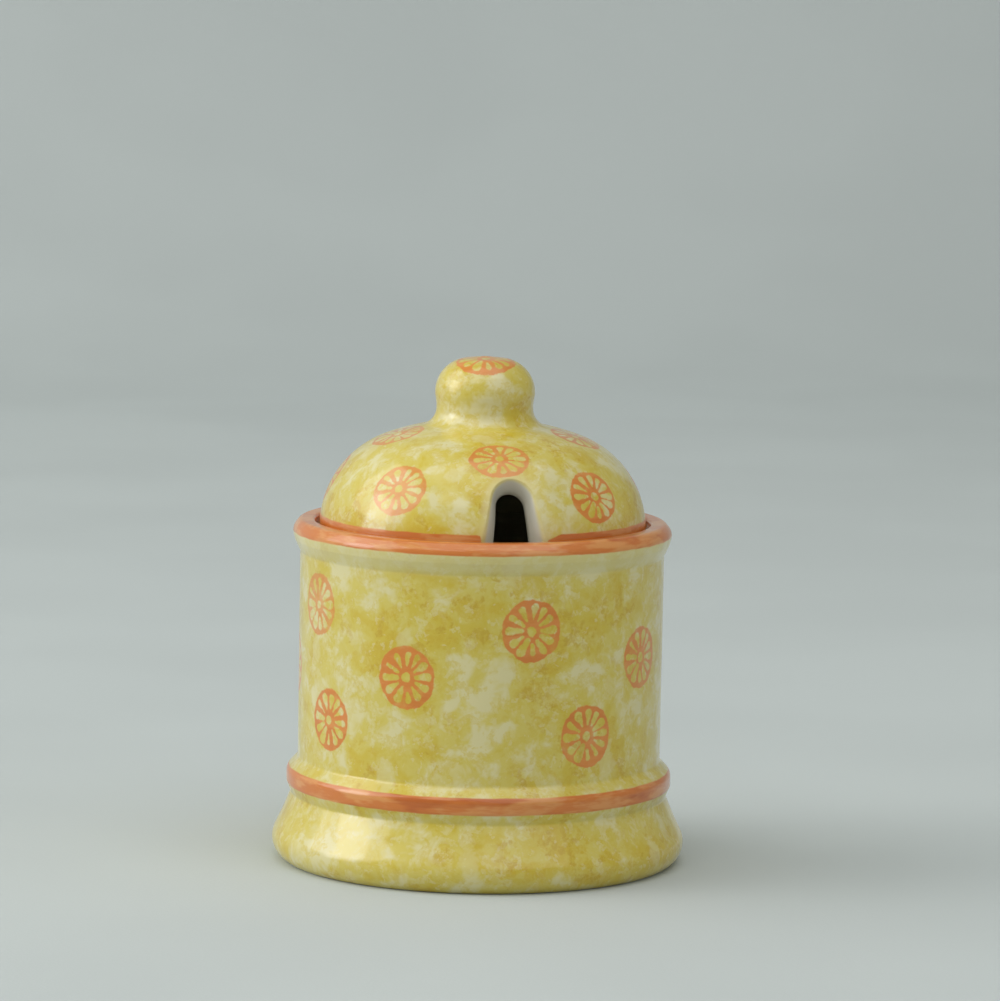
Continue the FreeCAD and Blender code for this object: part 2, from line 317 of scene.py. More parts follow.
def cornerPoints(before, corner, after, radius, step):
    # a corner's round as points, or the corner itself where it has none
    back = (before - corner) / np.linalg.norm(before - corner)
    ahead = (after - corner) / np.linalg.norm(after - corner)
    between = math.acos(float(np.clip(back @ ahead, -1, 1)))
    if radius <= 0 or between > math.pi - outlineDetail["straight"]:
        return [corner]
    reach = radius / math.tan(between / 2)
    inwards = (back + ahead) / np.linalg.norm(back + ahead)
    middle = corner + inwards * radius / math.sin(between / 2)
    first, last = corner + back * reach, corner + ahead * reach
    start = math.atan2(*(first - middle)[::-1])
    sweep = (math.atan2(*(last - middle)[::-1]) - start + math.pi) % (2 * math.pi) - math.pi
    longest = step * outlineDetail["roundShare"]
    parts = max(outlineDetail["fewestParts"], math.ceil(abs(sweep) * radius / longest))
    turns = [start + sweep * k / parts for k in range(parts + 1)]
    return [middle + radius * np.array((math.cos(turn), math.sin(turn))) for turn in turns]


def roundedOutline(corners, step):
    # a section through corners (radius, height, round), with its flats divided by step
    points = [np.array(corner[:2], float) for corner in corners]
    rounds = [corner[2] if len(corner) > 2 else 0 for corner in corners]
    outline = [points[0]]
    for before, corner, after, radius in zip(points, points[1:], points[2:], rounds[1:]):
        outline += cornerPoints(before, corner, after, radius, step)
    outline.append(points[-1])
    filled = [outline[0]]
    for point in outline[1:]:
        start = filled[-1]
        gap = float(np.linalg.norm(point - start))
        if gap >= outlineDetail["samePlace"]:
            parts = math.ceil(gap / step)
            filled += [start + (point - start) * k / parts for k in range(1, parts + 1)]
    return np.array(filled)


def alongOutline(outline):
    return np.concatenate(([0], np.cumsum(np.linalg.norm(np.diff(outline, axis=0), axis=1))))


def alongAt(outline, radius, height):
    # how far along an outline the point nearest to a place lies
    nearest = np.argmin(np.hypot(outline[:, 0] - radius, outline[:, 1] - height))
    return float(alongOutline(outline)[nearest])


# pot
potForm = {
    # corners of the section in millimetres: radius, height, round
    "outline": [
        (0.0, 1.6), (38.2, 1.6, 1.2), (38.2, 0.0, 0.5), (44.55, 0.0, 1.0), (48.6, 2.9, 5.2),
        (44.95, 10.4, 16.0), (43.0, 15.15, 0.8), (44.05, 17.8, 2.25), (44.05, 20.65, 2.25), (41.5, 23.3, 1.3),
        (41.5, 70.6, 1.4), (42.8, 73.4, 1.4), (43.35, 75.8, 2.5), (41.65, 77.95, 1.5), (38.1, 77.8, 0.8),
        (38.1, 75.55, 0.3), (34.5, 75.55, 0.6), (34.5, 73.0, 0.6), (36.55, 69.6, 1.0), (36.55, 6.0, 9.0),
        (0.0, 6.0),
    ],
    "step": 1.5,
    "segments": 300,
    "wobble": 0.10,  # how far the hand-finished clay strays inwards, in millimetres
    "wobbleSize": 26.0,
    "seed": 7,
    # places on the section as (radius, height), from and to
    "orange": [((43.72, 16.95), (43.45, 21.6)), ((43.2, 75.3), (38.1, 76.0))],
    "pale": ((41.6, 71.0), (43.3, 76.5)),  # thinner colour along the lip
    "bare": ((38.2, 0.4), (44.4, 0.0)),  # the unglazed foot ring
    "plain": ((44.6, 0.3), (38.1, 75.9)),  # plain glaze up to the first and on from the second
    "wall": 41.5,  # the straight wall's radius, where the slices are stamped
    "stampReach": 9.0,  # a face this near to a slice's centre takes its stamp
    # slices stamped on the wall: azimuth, height, turn in degrees, strength
    "slices": [
        (-72.4, 60.7, 4, 0.80), (4.7, 58.4, 0, 1.0), (49.0, 50.1, -6, 0.95), (-34.3, 47.2, 3, 1.0),
        (-65.4, 35.1, -4, 1.0), (24.2, 34.1, 2, 1.0), (88.0, 36.5, 5, 0.95), (101.0, 60.0, -8, 1.0),
        (134.0, 44.5, 7, 0.9), (164.0, 61.0, -3, 1.0), (170.0, 33.0, 10, 1.0), (205.0, 49.0, 0, 0.95),
        (232.0, 34.5, -9, 1.0), (243.0, 61.5, 6, 0.9), (262.0, 45.0, 1, 1.0),
    ],
}


def turnedClayTree():
    # turns an outline of points about Z: the grid's X goes round, its Y goes along the outline
    tree, given, result = newGroup(
        "turnedClay", "GeometryNodeTree",
        (("Outline", "Geometry"), ("Segments", "Int"), ("Wobble", "Float"), ("Wobble Size", "Float"),
         ("Seed", "Int"), ("Glaze", "Material")), ("Turned", "Geometry"))

    def passOn(kind, geometry, **settings):
        # a node that works on the geometry of the one before
        made = addNode(tree, kind, **settings)
        feed(tree, made.inputs["Geometry"], geometry)
        return made

    size = passOn("GeometryNodeAttributeDomainSize", given["Outline"], component="MESH")
    rows = size.outputs["Point Count"]
    # a flat grid 1 wide and 1 deep about its middle, so a half is added to count from its corner
    grid = addNode(tree, "GeometryNodeMeshGrid")
    fill(tree, grid, {"Size X": 1, "Size Y": 1, "Vertices X": maths(tree, "ADD", given["Segments"], 1),
                      "Vertices Y": rows})
    flat = splitVector(tree, addNode(tree, "GeometryNodeInputPosition").outputs[0])
    angle = times(tree, maths(tree, "ADD", flat["X"], 0.5), 2 * math.pi)
    lastRow = maths(tree, "SUBTRACT", rows, 1)
    row = maths(tree, "ROUND", times(tree, maths(tree, "ADD", flat["Y"], 0.5), lastRow))

    def sampleRow(kind, value):
        sample = passOn("GeometryNodeSampleIndex", given["Outline"], data_type=kind, domain="POINT")
        return fill(tree, sample, {"Value": value, "Index": row}).outputs[0]

    outlinePlace = sampleRow("FLOAT_VECTOR", addNode(tree, "GeometryNodeInputPosition").outputs[0])
    section = splitVector(tree, outlinePlace)
    radius, height = section["X"], section["Z"]

    def turned(reach):
        x = times(tree, reach, maths(tree, "SINE", angle))
        y = times(tree, reach, times(tree, maths(tree, "COSINE", angle), -1))
        return fill(tree, addNode(tree, "ShaderNodeCombineXYZ"), {"X": x, "Y": y, "Z": height}).outputs[0]

    stray = noise(tree, turned(radius), 1, 1, seed=given["Seed"])
    feed(tree, stray.node.inputs["Scale"], maths(tree, "DIVIDE", 1, given["Wobble Size"]))
    inwards = times(tree, maths(tree, "SUBTRACT", stray, 1), given["Wobble"])
    fadeRadius = 0.01  # nearer to the axis than this, in metres, the wobble fades out
    fade = maths(tree, "MULTIPLY", radius, 1 / fadeRadius, clamp=True)
    along = addNode(tree, "GeometryNodeInputNamedAttribute", data_type="FLOAT")
    along.inputs["Name"].default_value = "along"
    keep = passOn("GeometryNodeStoreNamedAttribute", grid.outputs["Mesh"], data_type="FLOAT", domain="POINT")
    fill(tree, keep, {"Name": "along", "Value": sampleRow("FLOAT", along.outputs[0])})
    place = passOn("GeometryNodeSetPosition", keep.outputs[0])
    feed(tree, place.inputs["Position"], turned(maths(tree, "MULTIPLY_ADD", inwards, fade, radius)))
    # the seam's two sides and the points on the axis become one
    merge = passOn("GeometryNodeMergeByDistance", place.outputs[0])
    merge.inputs["Distance"].default_value = 1e-6
    smooth = passOn("GeometryNodeSetShadeSmooth", merge.outputs[0])
    real = passOn("GeometryNodeRealizeInstances", smooth.outputs[0])
    finish = passOn("GeometryNodeSetMaterial", real.outputs[0])
    feed(tree, finish.inputs["Material"], given["Glaze"])
    feed(tree, result, finish.outputs[0])
    return tree


def keepValues(mesh, name, values, domain="POINT"):
    layer = mesh.attributes.new(name, "FLOAT", domain)
    layer.data.foreach_set("value", np.asarray(values, np.float32))


def outlineObject(name, outline):
    # the section as a mesh of points and edges in the XZ plane, with how far along each point lies
    mesh = bpy.data.meshes.new(name)
    points = [(radius * mm, 0, height * mm) for radius, height in outline]
    mesh.from_pydata(points, [(k, k + 1) for k in range(len(points) - 1)], [])
    keepValues(mesh, "along", alongOutline(outline))
    return placeInScene(name, mesh)


def setInput(modifier, name, value):
    # a modifier's input is kept under its socket's identifier
    for item in modifier.node_group.interface.items_tree:
        if item.item_type == "SOCKET" and item.in_out == "INPUT" and item.name == name:
            modifier[item.identifier] = value


def plainMesh(thing, name):
    # the evaluated result as a plain mesh object; the object with the modifier goes
    graph = bpy.context.evaluated_depsgraph_get()
    mesh = bpy.data.meshes.new_from_object(thing.evaluated_get(graph), depsgraph=graph)
    mesh.name = name
    bpy.data.objects.remove(thing)
    return placeInScene(name, mesh)


def readAll(items, field, kind, width=1):
    # one value for every item, or one row of width values
    values = np.zeros(len(items) * width, kind)
    items.foreach_get(field, values)
    return values if width == 1 else values.reshape(-1, width)


def stampMap(mesh, slices, reach):
    # one UV map in millimetres about the nearest slice's centre, and a far value where no slice is near;
    # slices are (centre, right, up, strength), and each face belongs to one slice at most
    farAway = 50.0
    points = readAll(mesh.vertices, "co", np.float32, 3).astype(float) / mm
    corners = readAll(mesh.loops, "vertex_index", np.int32)
    middles = readAll(mesh.polygons, "center", np.float32, 3) / mm
    totals = readAll(mesh.polygons, "loop_total", np.int32)
    cornerFace = np.repeat(np.arange(len(totals)), totals)
    places = np.full((len(corners), 2), farAway)
    strengths = np.zeros(len(corners))
    for centre, right, up, strength in slices:
        near = (np.linalg.norm(middles - centre, axis=1) < reach)[cornerFace]
        offset = points[corners[near]] - centre
        places[near, 0] = offset @ right
        places[near, 1] = offset @ up
        strengths[near] = strength
    layer = mesh.uv_layers.new(name="stampPlace")
    layer.data.foreach_set("uv", places.astype(np.float32).ravel())
    keepValues(mesh, "stampStrength", strengths, "CORNER")


def stampFrame(azimuth, centre, lean, turn, strength, tall=1.0):
    # a slice's centre with its right and up directions on a surface that leans back by lean degrees;
    # tall below 1 is for a dome, where the flat stamp's upper and lower ends don't quite touch
    bearing, back, roll = math.radians(azimuth), math.radians(lean), math.radians(turn)
    outwards = np.array((math.sin(bearing), -math.cos(bearing), 0.0))
    east = np.array((math.cos(bearing), math.sin(bearing), 0.0))
    north = np.array((0, 0, 1.0)) * math.cos(back) - outwards * math.sin(back)
    right = east * math.cos(roll) + north * math.sin(roll)
    up = north * math.cos(roll) - east * math.sin(roll)
    return np.array(centre, float), right, up / tall, strength


def ringPlace(azimuth, radius, height):
    turn = math.radians(azimuth)
    return radius * math.sin(turn), -radius * math.cos(turn), height


def insideReach(along, spans):
    # how far inside the nearest of the spans a point lies, in millimetres; below nothing outside them
    return np.max([np.minimum(along - start, end - along) for start, end in spans], axis=0)


# a reach for where a paint never comes, in millimetres
neverPainted = -9.0


def makePot(glaze):
    outline = roundedOutline(potForm["outline"], potForm["step"])
    pot = outlineObject("turnedPot", outline)
    modifier = pot.modifiers.new("turnedClay", "NODES")
    modifier.node_group = clayTree
    for name, value in (("Segments", potForm["segments"]), ("Wobble", potForm["wobble"] * mm),
                        ("Wobble Size", potForm["wobbleSize"] * mm), ("Seed", potForm["seed"]),
                        ("Glaze", glaze)):
        setInput(modifier, name, value)
    pot = plainMesh(pot, "glazedPot")
    mesh = pot.data
    along = readAll(mesh.attributes["along"].data, "value", np.float32)

    def span(places):
        return [alongAt(outline, *place) for place in places]

    beforeStart, pastEnd = -5, 1000  # the plain glaze's outer ends lie well past the outline's
    under, inside = span(potForm["plain"])
    keepValues(mesh, "orangeReach", insideReach(along, [span(places) for places in potForm["orange"]]))
    keepValues(mesh, "plainReach", insideReach(along, [(beforeStart, under), (inside, pastEnd)]))
    keepValues(mesh, "bareReach", insideReach(along, [span(potForm["bare"])]))
    keepValues(mesh, "cheekReach", np.full(len(along), neverPainted))
    keepValues(mesh, "paleReach", insideReach(along, [span(potForm["pale"])]))
    stamps = [stampFrame(azimuth, ringPlace(azimuth, potForm["wall"], height), 0, turn, strength)
              for azimuth, height, turn, strength in potForm["slices"]]
    stampMap(mesh, stamps, potForm["stampReach"])
    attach(pot, "root")
    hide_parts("pot")


# lid
lidForm = {
    "seat": 75.6,  # height of the ledge that the lid rests on
    "radius": 37.15,
    "wall": 4.5,
    "edge": 0.6,
    "shoulder": 22.3,
    "crown": 66.6,
    "crownJoin": 15.3,  # the radius where the crown meets the knob's neck
    "neck": (11.0, 4.1),  # radius, round
    # knob corners above the seat: radius, height, round
    "knob": [(11.0, 28.9, 4.0), (11.35, 31.1, 3.5), (11.3, 38.45, 7.7), (0.0, 39.7)],
    # the notch: half its width at the seat, its arch's radius, its height, the round at its feet
    "clear": (4.25, 3.3, 12.3, 1.0),
    "outer": (7.9, 5.2, 15.5, 1.3),  # the same on the outside, where the cheeks begin
    "cheekDepth": 3.3,  # how deep in the wall the cheeks reach the clear opening
    "cheekBow": 1.4,  # 1 is a flat cheek, and more gives it a softer outer lip
    "notchFade": 1.2,  # up to this height the seat's rounds give way to the notch
    "outerRound": 0.6,  # rounds of the lower edge, outside and inside
    "innerRound": 0.35,
    "innerOpening": 0.06,  # the inner round's share of the way to the outside's line
    # rows of points: outer round; first and last depth of the cheeks and their rows; inner round from
    # this turn; ceiling; inside and outside of the wall
    "outerRows": 7,
    "cheekRows": (0.85, 4.05, 11),
    "innerRows": (0.2, 5),
    "ceilingRows": 22,
    "insideRows": 34,
    "outsideRows": 40,
    "crownStep": 0.9,
    "knobStep": 0.8,
    "archCount": 108,  # points of a ring along the notch and round the rest
    "seatCount": 300,
    "morphTo": 30.5,  # how far up the dome the rings follow the notch, along the surface
    # the orange band: its height, its end beside the notch, its round end, and its thinning on the right,
    # by so much over so far
    "orangeTop": 3.5,
    "orangeFrom": 7.4,
    "orangeCorner": 0.7,
    "orangeThinning": (1.3, 3.4),
    "plainFrom": 0.6,  # the depth where the plain glaze begins
    "unpainted": -6.0,  # the orange's reach inside, and the plain glaze's outside
    "slipOut": 3.5,  # the cheeks' pale slip ends this far outside the notch's line
    "slipUp": 0.7,  # and begins this far above the seat
    "slipFrom": (1.5, 0.55),  # it grows by the first over a millimetre of depth, from less than none
    "slipFade": (0.5, 8.5),  # outside it falls off from the first, over the second
    "stampReach": 8.2,
    # azimuth, distance up the dome, turn, strength, height against width
    "slices": [
        (-44.8, 13.1, 0, 0.85, 0.87), (-3.5, 22.9, 2, 0.9, 0.80), (34.9, 11.5, -4, 1.0, 0.88),
        (-83.5, 30.0, 5, 0.85, 0.86), (67.5, 29.3, -5, 0.9, 0.84), (-101.0, 12.5, 3, 1.0, 0.88),
        (86.0, 12.0, 6, 1.0, 0.87), (128.0, 23.0, -5, 0.95, 0.86), (155.0, 10.5, 0, 1.0, 0.88),
        (190.0, 26.0, 8, 0.9, 0.85), (214.0, 11.5, -3, 1.0, 0.88),
    ],
    "knobSlice": (-11.0, 3.2, 0.4, 78, 4, 0.95),  # azimuth, out, below the top, lean, turn, strength
}


def domeTurn():
    # the shoulder's centre out from the axis, the crown's centre above the seat, and the turn between them
    reach = lidForm["radius"] - lidForm["shoulder"]
    centre = lidForm["edge"] - math.sqrt((lidForm["crown"] - lidForm["shoulder"]) ** 2 - reach ** 2)
    return reach, centre, math.atan2(lidForm["edge"] - centre, reach)


def domeSection(along, depth):
    # radius and height above the seat of points on the dome, along its outside and at a depth below it
    reach, centre, turn = domeTurn()
    edge, shoulder, crown = lidForm["edge"], lidForm["shoulder"], lidForm["crown"]
    along, depth = np.broadcast_arrays(np.asarray(along, float), np.asarray(depth, float))
    angle = (along - edge) / shoulder
    crownAngle = turn + (along - edge - shoulder * turn) / crown
    onEdge, onShoulder = along < edge, angle < turn
    radius = np.where(onEdge, lidForm["radius"] - depth, np.where(
        onShoulder, reach + (shoulder - depth) * np.cos(angle), (crown - depth) * np.cos(crownAngle)))
    height = np.where(onEdge, along, np.where(
        onShoulder, edge + (shoulder - depth) * np.sin(angle), centre + (crown - depth) * np.sin(crownAngle)))
    return radius, height


def archPath(half, arch, top, corner):
    # the notch's outline seen from the front, from its left foot to its right foot: across, height
    step, runOut, kept = 0.25, 8, 4.0  # the line runs out along the seat, and part of that is kept
    rise = top - arch
    lean = math.acos(arch / math.hypot(half, rise)) - math.atan2(rise, half)
    touch = (arch * math.cos(lean), rise + arch * math.sin(lean))
    foot = roundedOutline([(half + runOut, 0.0), (half, 0.0, corner), touch], step)
    right = np.concatenate((foot[:-1], arcPoints((0, rise), arch, lean, math.pi / 2, step)))
    right = right[right[:, 0] < half + kept]
    lengths = alongOutline(right)
    even = np.linspace(0, lengths[-1], lidForm["archCount"] // 2 + 1)
    right = np.stack([np.interp(even, lengths, right[:, axis]) for axis in (0, 1)], 1)
    return np.concatenate((right * (-1, 1), right[::-1][1:]))


def onDome(path, depth):
    # across and height on the front view turned into azimuth and distance along the dome
    farthest, count = 32, 1601  # a table of the dome, past the notch's top in steps of 0.02
    table = np.linspace(0, farthest, count)
    radius, height = domeSection(table, depth)
    along = np.interp(path[:, 1], height, table)
    return np.arcsin(path[:, 0] / np.interp(along, table, radius)), along


def wholeRing(path, depth):
    # the notch's line on the dome and then on round the seat: azimuths, and distances up the dome
    turn, along = onDome(path, depth)
    count = lidForm["seatCount"]
    rest = np.linspace(turn[-1], 2 * math.pi + turn[0], count + 2)[1:-1]
    return np.concatenate((turn, rest)), np.concatenate((np.maximum(along, 0), np.zeros(count)))


def domeRing(turn, along, depth, kind):
    along, depth = np.full(len(turn), along, float), np.full(len(turn), depth, float)
    radius, height = domeSection(along, depth)
    return {"turn": turn, "radius": radius, "height": height, "along": along, "depth": depth, "kind": kind}


def cheekShare(depth):
    # how far towards the outside's line the cheek has come at a depth: a soft outer lip, then steeper
    return 1 - min(depth / lidForm["cheekDepth"], 1) ** (1 / lidForm["cheekBow"])


def edgeRows():
    # the rows across the lower edge and the cheeks, from the outside in: share of the way to the outside's
    # line, lift of the lower edge's round, depth, kind
    rows = []
    outerRound, innerRound = lidForm["outerRound"], lidForm["innerRound"]
    for turn in np.linspace(0, math.pi / 2, lidForm["outerRows"]):
        depth = outerRound * (1 - math.cos(turn))
        rows.append((cheekShare(depth), outerRound * (1 - math.sin(turn)), depth, "outer"))
    for depth in np.linspace(*lidForm["cheekRows"]):
        rows.append((cheekShare(depth), 0.0, depth, "cheek"))
    firstTurn, count = lidForm["innerRows"]
    for turn in np.linspace(firstTurn, math.pi / 2, count):
        rise = 1 - math.cos(turn)
        depth = lidForm["wall"] - innerRound + innerRound * math.sin(turn)
        rows.append((lidForm["innerOpening"] * rise, innerRound * rise, depth, "inner"))
    return rows


def knobSection():
    # the crown above the morphing rings, and the knob: radius and height above the seat
    _, centre, shoulderTurn = domeTurn()
    crown, join = lidForm["crown"], lidForm["crownJoin"]
    tilt = math.asin(join / crown)
    joinHeight = centre + crown * math.cos(tilt)
    neckRadius, neckRound = lidForm["neck"]
    neckHeight = joinHeight + (join - neckRadius) * math.tan(tilt)
    beyond = lidForm["morphTo"] - lidForm["edge"] - lidForm["shoulder"] * shoulderTurn
    crownPart = arcPoints((0, centre), crown, shoulderTurn + beyond / crown, math.pi / 2 - tilt,
                          lidForm["crownStep"])
    knob = [(join, joinHeight), (neckRadius, neckHeight, neckRound)] + lidForm["knob"]
    return np.concatenate((crownPart[1:-1], roundedOutline(knob, lidForm["knobStep"])))


def lidRings():
    # every ring of the lid's skin from the ceiling's centre, down the inside, under the edge, up the outside
    # to the knob's top, and the notch's line on the outside as it is seen from the front
    clear, outer = archPath(*lidForm["clear"]), archPath(*lidForm["outer"])
    total = len(clear) + lidForm["seatCount"]
    even = np.arange(total) / total * 2 * math.pi
    even -= even[len(clear) // 2]
    outerTurn, outerAlong = wholeRing(outer, 0)
    clearTurn, clearAlong = wholeRing(clear, lidForm["cheekDepth"])
    # 1 in the notch, 0 on the seat
    notched = np.clip(np.maximum(outerAlong, clearAlong) / lidForm["notchFade"], 0, 1)

    def edgeLine(share, lift):
        turn = clearTurn + (outerTurn - clearTurn) * share
        return turn, clearAlong + (outerAlong - clearAlong) * share + lift * (1 - notched)

    wall, morph, rows = lidForm["wall"], lidForm["morphTo"], edgeRows()
    _, _, shoulderTurn = domeTurn()
    crownAlong = lidForm["crown"] * (math.pi / 2 - shoulderTurn)
    topAlong = lidForm["edge"] + lidForm["shoulder"] * shoulderTurn + crownAlong
    innerShare, innerLift = rows[-1][:2]
    innerTurn, innerAlong = edgeLine(innerShare, innerLift)
    rings = [domeRing(even, along, wall, "inside")
             for along in np.linspace(topAlong, morph, lidForm["ceilingRows"])[:-1]]
    for share in np.linspace(0, 1, lidForm["insideRows"])[:-1]:
        turn, along = even + (innerTurn - even) * share, morph + (innerAlong - morph) * share
        rings.append(domeRing(turn, along, wall, "inside"))
    for share, lift, depth, kind in rows[::-1]:
        turn, along = edgeLine(share, lift)
        rings.append(domeRing(turn, along, depth, kind))
    firstAlong = outerAlong + lidForm["outerRound"] * (1 - notched)
    for share in np.linspace(0, 1, lidForm["outsideRows"])[1:]:
        turn, along = outerTurn + (even - outerTurn) * share, firstAlong + (morph - firstAlong) * share
        rings.append(domeRing(turn, along, 0.0, "outside"))

    section = knobSection()
    for (radius, height), along in zip(section, alongOutline(section) + morph + lidForm["crownStep"]):
        ring = {name: np.full(total, value) for name, value in
                (("radius", radius), ("height", height), ("along", along), ("depth", 0.0))}
        rings.append({"turn": even, "kind": "outside", **ring})
    return rings, outer


def paintReaches(ring, notchLine):
    # how far inside each paint a ring's points lie, in millimetres
    turn, height, depth = ring["turn"], ring["height"], ring["depth"]
    unpainted, never = np.full(len(turn), lidForm["unpainted"]), np.full(len(turn), neverPainted)
    front = (turn + math.pi) % (2 * math.pi) - math.pi
    across = np.abs(front) * lidForm["radius"]
    outside = ring["kind"] in ("outside", "outer")
    # the brush stops just before the cheeks, with a small round end, thinning out on the right
    thinBy, thinOver = lidForm["orangeThinning"]
    side = across - lidForm["orangeFrom"]
    thinning = np.where(front > 0, np.clip((lidForm["orangeFrom"] + thinOver - across) / thinOver, 0, 1), 0)
    top = lidForm["orangeTop"] - ring["along"] - thinBy * thinning
    corner = lidForm["orangeCorner"]
    orange = corner - np.hypot(np.maximum(corner - side, 0), np.maximum(corner - top, 0))
    orange = np.where((side > corner) & (top > corner), np.minimum(side, top), orange)
    # outside the notch its reach falls off with the distance from the notch's line, seen from the front
    seen = np.stack((ring["radius"] * np.sin(turn), height), 1)
    away = np.min(np.linalg.norm(seen[:, None] - notchLine[None], axis=2), axis=1)
    below, farOff = lidForm["slipFade"]
    away = np.where(np.cos(turn) > 0, np.minimum(away, farOff), farOff)
    cheek = -below - away
    if ring["kind"] in ("cheek", "inner", "outer"):
        slipped = height > lidForm["slipUp"]
        if outside:
            slipped &= away < lidForm["slipOut"]
        growth, start = lidForm["slipFrom"]
        cheek = np.where(slipped, depth * growth - start, cheek)
    return {
        "orangeReach": orange if outside else unpainted,
        "plainReach": unpainted if outside else depth - lidForm["plainFrom"],
        "bareReach": never,
        "cheekReach": cheek,
        "paleReach": never,
    }


def skinFaces(ringCount, total):
    # quads between rings of total points, and a fan at each end; point 0 is the first fan's middle
    faces = []
    last = 1 + (ringCount - 1) * total
    for start in range(1, last, total):
        for k in range(total):
            after = (k + 1) % total
            faces.append((start + k, start + after, start + total + after, start + total + k))
    for k in range(total):
        after = (k + 1) % total
        faces.append((0, 1 + after, 1 + k))
        faces.append((last + k, last + after, last + total))
    return faces


def lidStamps(topHeight):
    stamps = []
    for azimuth, along, turn, strength, tall in lidForm["slices"]:
        radius, height = domeSection(along, 0)
        lower, upper = domeSection(along - 0.5, 0), domeSection(along + 0.5, 0)
        lean = math.degrees(math.atan2(float(lower[0] - upper[0]), float(upper[1] - lower[1])))
        centre = ringPlace(azimuth, float(radius), float(height) + lidForm["seat"])
        stamps.append(stampFrame(azimuth, centre, lean, turn, strength, tall))
    azimuth, out, below, lean, turn, strength = lidForm["knobSlice"]
    stamps.append(stampFrame(azimuth, ringPlace(azimuth, out, topHeight - below), lean, turn, strength))
    return stamps


def makeLid(glaze):
    rings, notchLine = lidRings()
    points = [np.stack([ring["radius"] * np.sin(ring["turn"]), -ring["radius"] * np.cos(ring["turn"]),
                        ring["height"] + lidForm["seat"]], 1) for ring in rings]
    reaches = [paintReaches(ring, notchLine) for ring in rings]
    # the first and the last ring lie on the axis, so one point of each is enough
    ceiling, knobTop = (0, 0, points[0][0][2]), (0, 0, points[-1][0][2])
    vertices = np.concatenate([[ceiling]] + points[1:-1] + [[knobTop]]) * mm
    faces = skinFaces(len(rings) - 2, len(points[0]))
    mesh = smoothMesh("glazedLid", vertices.tolist(), faces, glaze)
    for name in reaches[0]:
        rows = [reach[name] for reach in reaches]
        keepValues(mesh, name, np.concatenate([rows[0][:1]] + rows[1:-1] + [rows[-1][:1]]))
    lid = placeInScene("glazedLid", mesh)
    stampMap(mesh, lidStamps(knobTop[2]), lidForm["stampReach"])
    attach(lid, "root")
    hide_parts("lid")


# glaze and paint
glazeSet = {
    "colours": {
        "cream": (220, 210, 154),
        "pale": (212, 195, 92),
        "yellow": (208, 185, 58),
        "mustard": (204, 173, 38),
        "ochre": (194, 158, 28),
        "orange": (208, 116, 42),
        "orangeThin": (218, 144, 76),
        "orangeDeep": (190, 94, 26),
        "stamped": (222, 128, 36),  # the slices' thinner paint
        "slip": (200, 197, 180),  # the unpainted cheeks of the notch
        "inside": (214, 209, 184),
        "bisque": (206, 198, 180),
    },
    "roughness": 0.13,
    "bareRoughness": 0.6,  # added where the clay is bare
    "refraction": 1.5,
    "shine": 0.5,
    "coat": 0.5,  # a softer layer above that spreads the window's light
    "coatRoughness": 0.42,
    # how far each paint covers what lies under it
    "ovalCover": 0.4,
    "thinCover": 0.6,
    "bandCover": 0.97,
    "sliceCover": 0.93,
    "stampedShare": 0.6,  # of the slices' own paint in the bands' orange
    # blotches: size in millimetres, detail, roughness, distortion
    "broad": (15, 2, 0.5),
    "cloudy": (5.2, 3, 0.58, 0.4),
    "grain": (0.8, 3, 0.7),
    "edgeBlotch": (5, 3),
    "brush": (2.6, 3, 0.6),
    "stroke": (4.5, 3, 0.6),
    "smudge": (4.2, 1),
    "ragged": (1.1, 3, 0.6),
    "patch": (3.2, 3, 0.6),
    "speck": (0.5, 2),
    "swell": (7.5, 2, 0.5),
    "peel": (0.9, 2, 0.5),
    # the wash: shares of the two blotches in it, and the colours along it
    "washShares": (0.44, 0.56),
    "washStops": [(0.38, "cream"), (0.50, "pale"), (0.61, "yellow"), (0.72, "mustard")],
    # dabs over the wash: colour, size, share of the surface, cover, only where the ground is ripe
    "dabs": [
        ("mustard", 6.5, 0.46, 0.55, True), ("cream", 5.5, 0.26, 0.45, False),
        ("yellow", 4.2, 0.44, 0.55, False), ("mustard", 3.4, 0.38, 0.65, True),
        ("cream", 2.8, 0.24, 0.50, False), ("ochre", 4.0, 0.30, 0.65, True),
    ],
    "ovalGap": 13.0,  # between pale ovals, and how tall they are against their width
    "ovalTall": 1.6,
    "edgeWander": 0.9,  # how far a painted edge wanders, in millimetres
    "bumpDepth": 0.00035,  # metres, over swells and fine peel of these heights
    "swellHeight": 0.5,
    "peelHeight": 0.018,
}
tones = {name: paint(*value) for name, value in glazeSet["colours"].items()}

sliceStamp = {
    "radius": 6.7,
    "tall": 1.05,  # a little taller than it is wide
    "hole": 1.0,
    "edge": 0.16,
    # the cut openings: clock angle in degrees, inner reach, outer reach, inner and outer half width
    "openings": [
        (8, 2.6, 4.95, 0.28, 0.80), (34, 2.5, 5.1, 0.26, 0.76), (59, 2.4, 4.9, 0.32, 0.94),
        (88, 2.4, 5.0, 0.36, 0.90), (117, 2.5, 5.0, 0.30, 0.84), (146, 2.5, 4.9, 0.30, 0.82),
        (176, 3.2, 4.8, 0.32, 0.66), (207, 2.2, 4.9, 0.44, 1.10), (238, 2.4, 4.9, 0.38, 0.98),
        (270, 2.3, 5.1, 0.50, 0.92), (302, 2.2, 5.25, 0.26, 0.58), (334, 2.5, 4.9, 0.30, 0.90),
    ],
}


